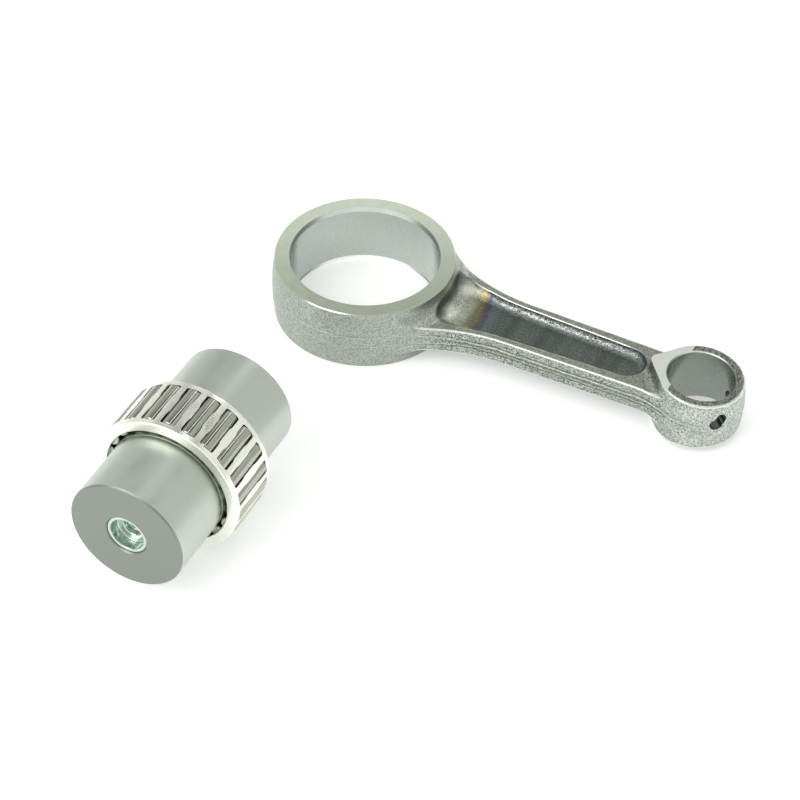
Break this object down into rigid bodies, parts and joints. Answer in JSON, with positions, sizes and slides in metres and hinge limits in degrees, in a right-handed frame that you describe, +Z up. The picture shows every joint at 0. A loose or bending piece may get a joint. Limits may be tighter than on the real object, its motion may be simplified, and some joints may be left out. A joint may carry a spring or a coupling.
{
  "type": "connecting rod kit",
  "caption": "Forged engine connecting rod with an I-section shank, laid out beside its crank pin, which carries a caged needle roller bearing and two pressed oil plugs.",
  "frame": {"origin": "on the axis of the big-end bore, in the plane of the lower big-end thrust face, on which the rod lies", "axes": "+Z up along the big-end bore; +X along the rod towards the small end; the crank pin lies along Y on the -Y side"},
  "size_m": [0.152, 0.1649, 0.045],
  "materials": {
    "forged_steel": "shot-blasted forging with ground thrust faces and honed bores",
    "ground_steel": "fine ground, satin",
    "zinc_plate": "bright zinc plate",
    "silver_plate": "silver plate over steel",
    "bearing_steel": "polished bearing steel"
  },
  "bodies": {
    "rod": {"connecting_rod": "forged_steel"},
    "pin_set": {"crank_pin": "ground_steel", "pin_plug_near": "zinc_plate", "pin_plug_far": "zinc_plate"},
    "cage": {"bearing_cage": "silver_plate"},
    "roller_01_body": {"roller_01": "bearing_steel"},
    "roller_02_body": {"roller_02": "bearing_steel"},
    "roller_03_body": {"roller_03": "bearing_steel"},
    "roller_04_body": {"roller_04": "bearing_steel"},
    "roller_05_body": {"roller_05": "bearing_steel"},
    "roller_06_body": {"roller_06": "bearing_steel"},
    "roller_07_body": {"roller_07": "bearing_steel"},
    "roller_08_body": {"roller_08": "bearing_steel"},
    "roller_09_body": {"roller_09": "bearing_steel"},
    "roller_10_body": {"roller_10": "bearing_steel"},
    "roller_11_body": {"roller_11": "bearing_steel"},
    "roller_12_body": {"roller_12": "bearing_steel"},
    "roller_13_body": {"roller_13": "bearing_steel"},
    "roller_14_body": {"roller_14": "bearing_steel"},
    "roller_15_body": {"roller_15": "bearing_steel"},
    "roller_16_body": {"roller_16": "bearing_steel"},
    "roller_17_body": {"roller_17": "bearing_steel"},
    "roller_18_body": {"roller_18": "bearing_steel"},
    "roller_19_body": {"roller_19": "bearing_steel"},
    "roller_20_body": {"roller_20": "bearing_steel"},
    "roller_21_body": {"roller_21": "bearing_steel"},
    "roller_22_body": {"roller_22": "bearing_steel"}
  },
  "joints": [
    {"name": "bearing_set_lift", "type": "slide", "parent": "rod", "child": "pin_set", "axis": [0, 0, 1], "range_m": [0, 0.08]},
    {"name": "cage_spin", "type": "hinge", "parent": "pin_set", "child": "cage", "pos_m": [-0.0023, -0.1054, 0.0225], "axis": [0, 1, 0], "continuous": true},
    {"name": "roller_01_spin", "type": "hinge", "parent": "cage", "child": "roller_01_body", "pos_m": [-0.0023, -0.1054, 0.0425], "axis": [0, 1, 0], "continuous": true},
    {"name": "roller_02_spin", "type": "hinge", "parent": "cage", "child": "roller_02_body", "pos_m": [0.00333, -0.1054, 0.04169], "axis": [0, 1, 0], "continuous": true},
    {"name": "roller_03_spin", "type": "hinge", "parent": "cage", "child": "roller_03_body", "pos_m": [0.00851, -0.1054, 0.03933], "axis": [0, 1, 0], "continuous": true},
    {"name": "roller_04_spin", "type": "hinge", "parent": "cage", "child": "roller_04_body", "pos_m": [0.01281, -0.1054, 0.0356], "axis": [0, 1, 0], "continuous": true},
    {"name": "roller_05_spin", "type": "hinge", "parent": "cage", "child": "roller_05_body", "pos_m": [0.01589, -0.1054, 0.03081], "axis": [0, 1, 0], "continuous": true},
    {"name": "roller_06_spin", "type": "hinge", "parent": "cage", "child": "roller_06_body", "pos_m": [0.0175, -0.1054, 0.02535], "axis": [0, 1, 0], "continuous": true},
    {"name": "roller_07_spin", "type": "hinge", "parent": "cage", "child": "roller_07_body", "pos_m": [0.0175, -0.1054, 0.01965], "axis": [0, 1, 0], "continuous": true},
    {"name": "roller_08_spin", "type": "hinge", "parent": "cage", "child": "roller_08_body", "pos_m": [0.01589, -0.1054, 0.01419], "axis": [0, 1, 0], "continuous": true},
    {"name": "roller_09_spin", "type": "hinge", "parent": "cage", "child": "roller_09_body", "pos_m": [0.01281, -0.1054, 0.0094], "axis": [0, 1, 0], "continuous": true},
    {"name": "roller_10_spin", "type": "hinge", "parent": "cage", "child": "roller_10_body", "pos_m": [0.00851, -0.1054, 0.00567], "axis": [0, 1, 0], "continuous": true},
    {"name": "roller_11_spin", "type": "hinge", "parent": "cage", "child": "roller_11_body", "pos_m": [0.00333, -0.1054, 0.00331], "axis": [0, 1, 0], "continuous": true},
    {"name": "roller_12_spin", "type": "hinge", "parent": "cage", "child": "roller_12_body", "pos_m": [-0.0023, -0.1054, 0.0025], "axis": [0, 1, 0], "continuous": true},
    {"name": "roller_13_spin", "type": "hinge", "parent": "cage", "child": "roller_13_body", "pos_m": [-0.00793, -0.1054, 0.00331], "axis": [0, 1, 0], "continuous": true},
    {"name": "roller_14_spin", "type": "hinge", "parent": "cage", "child": "roller_14_body", "pos_m": [-0.01311, -0.1054, 0.00567], "axis": [0, 1, 0], "continuous": true},
    {"name": "roller_15_spin", "type": "hinge", "parent": "cage", "child": "roller_15_body", "pos_m": [-0.01741, -0.1054, 0.0094], "axis": [0, 1, 0], "continuous": true},
    {"name": "roller_16_spin", "type": "hinge", "parent": "cage", "child": "roller_16_body", "pos_m": [-0.02049, -0.1054, 0.01419], "axis": [0, 1, 0], "continuous": true},
    {"name": "roller_17_spin", "type": "hinge", "parent": "cage", "child": "roller_17_body", "pos_m": [-0.0221, -0.1054, 0.01965], "axis": [0, 1, 0], "continuous": true},
    {"name": "roller_18_spin", "type": "hinge", "parent": "cage", "child": "roller_18_body", "pos_m": [-0.0221, -0.1054, 0.02535], "axis": [0, 1, 0], "continuous": true},
    {"name": "roller_19_spin", "type": "hinge", "parent": "cage", "child": "roller_19_body", "pos_m": [-0.02049, -0.1054, 0.03081], "axis": [0, 1, 0], "continuous": true},
    {"name": "roller_20_spin", "type": "hinge", "parent": "cage", "child": "roller_20_body", "pos_m": [-0.01741, -0.1054, 0.0356], "axis": [0, 1, 0], "continuous": true},
    {"name": "roller_21_spin", "type": "hinge", "parent": "cage", "child": "roller_21_body", "pos_m": [-0.01311, -0.1054, 0.03933], "axis": [0, 1, 0], "continuous": true},
    {"name": "roller_22_spin", "type": "hinge", "parent": "cage", "child": "roller_22_body", "pos_m": [-0.00793, -0.1054, 0.04169], "axis": [0, 1, 0], "continuous": true}
  ],
  "couplings": [
    {"joint": "roller_01_spin", "follows": "cage_spin", "ratio": 7},
    {"joint": "roller_02_spin", "follows": "cage_spin", "ratio": 7},
    {"joint": "roller_03_spin", "follows": "cage_spin", "ratio": 7},
    {"joint": "roller_04_spin", "follows": "cage_spin", "ratio": 7},
    {"joint": "roller_05_spin", "follows": "cage_spin", "ratio": 7},
    {"joint": "roller_06_spin", "follows": "cage_spin", "ratio": 7},
    {"joint": "roller_07_spin", "follows": "cage_spin", "ratio": 7},
    {"joint": "roller_08_spin", "follows": "cage_spin", "ratio": 7},
    {"joint": "roller_09_spin", "follows": "cage_spin", "ratio": 7},
    {"joint": "roller_10_spin", "follows": "cage_spin", "ratio": 7},
    {"joint": "roller_11_spin", "follows": "cage_spin", "ratio": 7},
    {"joint": "roller_12_spin", "follows": "cage_spin", "ratio": 7},
    {"joint": "roller_13_spin", "follows": "cage_spin", "ratio": 7},
    {"joint": "roller_14_spin", "follows": "cage_spin", "ratio": 7},
    {"joint": "roller_15_spin", "follows": "cage_spin", "ratio": 7},
    {"joint": "roller_16_spin", "follows": "cage_spin", "ratio": 7},
    {"joint": "roller_17_spin", "follows": "cage_spin", "ratio": 7},
    {"joint": "roller_18_spin", "follows": "cage_spin", "ratio": 7},
    {"joint": "roller_19_spin", "follows": "cage_spin", "ratio": 7},
    {"joint": "roller_20_spin", "follows": "cage_spin", "ratio": 7},
    {"joint": "roller_21_spin", "follows": "cage_spin", "ratio": 7},
    {"joint": "roller_22_spin", "follows": "cage_spin", "ratio": 7}
  ]
}
